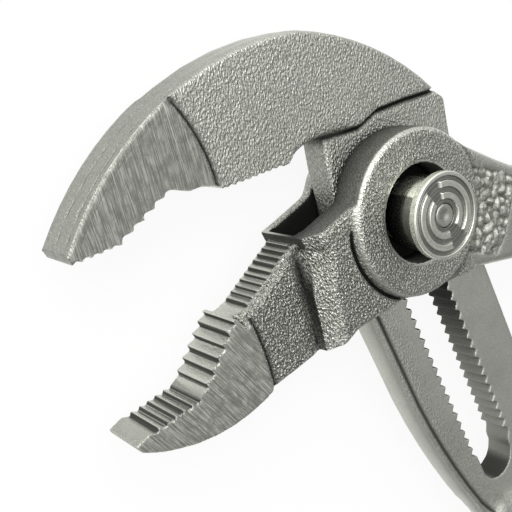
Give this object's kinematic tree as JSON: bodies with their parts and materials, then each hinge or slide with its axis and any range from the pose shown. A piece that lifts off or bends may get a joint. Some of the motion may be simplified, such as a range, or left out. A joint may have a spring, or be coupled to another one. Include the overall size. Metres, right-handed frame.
{
  "type": "water pump pliers",
  "caption": "Adjustable water pump pliers with a hooked upper jaw, box joint, toothed size slot, push button and sleeved handles.",
  "frame": {"origin": "centre of the bounding box in plan, on the plane the tool lies on", "axes": "+X from the jaws along the upper handle, +Y across the tool towards the upper jaw's spine, +Z along the joint bolt towards the push button"},
  "size_m": [0.2524, 0.176, 0.0214],
  "materials": {
    "forged_steel": "blasted forging with ground jaw flanks",
    "turned_steel": "turned",
    "button_steel": "turned, bright",
    "spring_steel": "drawn wire",
    "grip_plastic": "matt, fine grain"
  },
  "bodies": {
    "box_body": {"box_arm": "forged_steel", "upper_grip": "grip_plastic"},
    "bolt_carrier": {"spring_seat": "turned_steel", "return_spring": "spring_steel"},
    "slotted_body": {"slotted_arm": "forged_steel", "lower_grip": "grip_plastic"},
    "bolt_body": {"pivot_bolt": "turned_steel", "push_button": "button_steel"}
  },
  "joints": [
    {"name": "jaw_pivot", "type": "hinge", "parent": "box_body", "child": "bolt_carrier", "pos_m": [-0.07181, 0.06211, 0], "axis": [0, 0, 1], "range_deg": [-2, 27]},
    {"name": "size_adjust", "type": "slide", "parent": "bolt_carrier", "child": "slotted_body", "axis": [-0.512, 0.859, 0], "range_m": [0, 0.042]},
    {"name": "button_press", "type": "slide", "parent": "bolt_carrier", "child": "bolt_body", "axis": [0, 0, -1], "range_m": [0, 0.0024], "stiffness_N_per_m": 800, "springref_m": -0.002, "deforming": ["return_spring"]}
  ]
}
